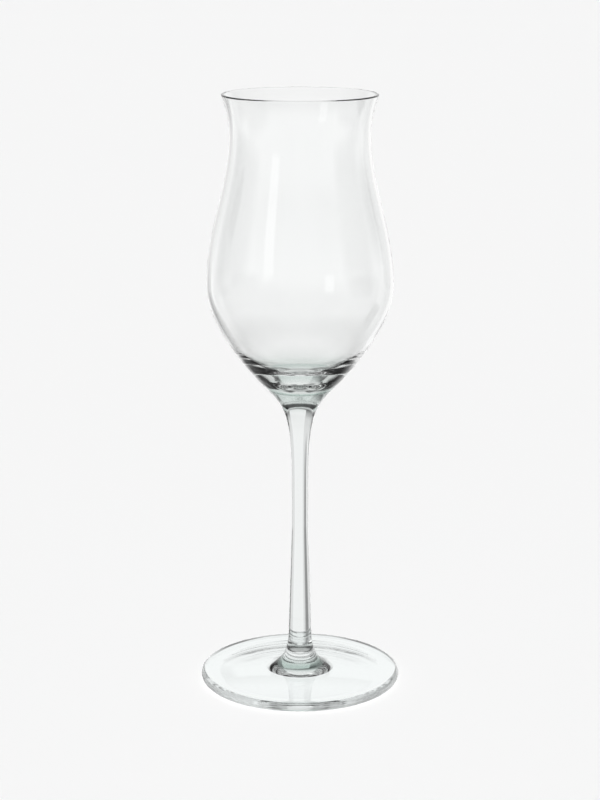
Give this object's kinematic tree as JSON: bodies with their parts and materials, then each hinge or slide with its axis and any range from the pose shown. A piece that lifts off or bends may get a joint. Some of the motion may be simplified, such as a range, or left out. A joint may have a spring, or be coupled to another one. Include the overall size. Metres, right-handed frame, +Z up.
{
  "type": "cognac glass",
  "caption": "Stemmed tulip glass for cognac: thin clear bowl with a round belly, drawn-in waist and flared rim, on a slender drawn stem and a round-edged foot.",
  "frame": {"origin": "centre of the circle that the foot stands on, on the standing plane", "axes": "+Z up along the axis of the glass; it is a body of revolution, so X and Y are free"},
  "size_m": [0.0696, 0.0696, 0.205],
  "materials": {
    "clear_glass": "clear fire-polished glass with a faint cool green tint in the thick places"
  },
  "bodies": {
    "root": {"bowl": "clear_glass", "stem": "clear_glass", "foot": "clear_glass"}
  },
  "joints": []
}
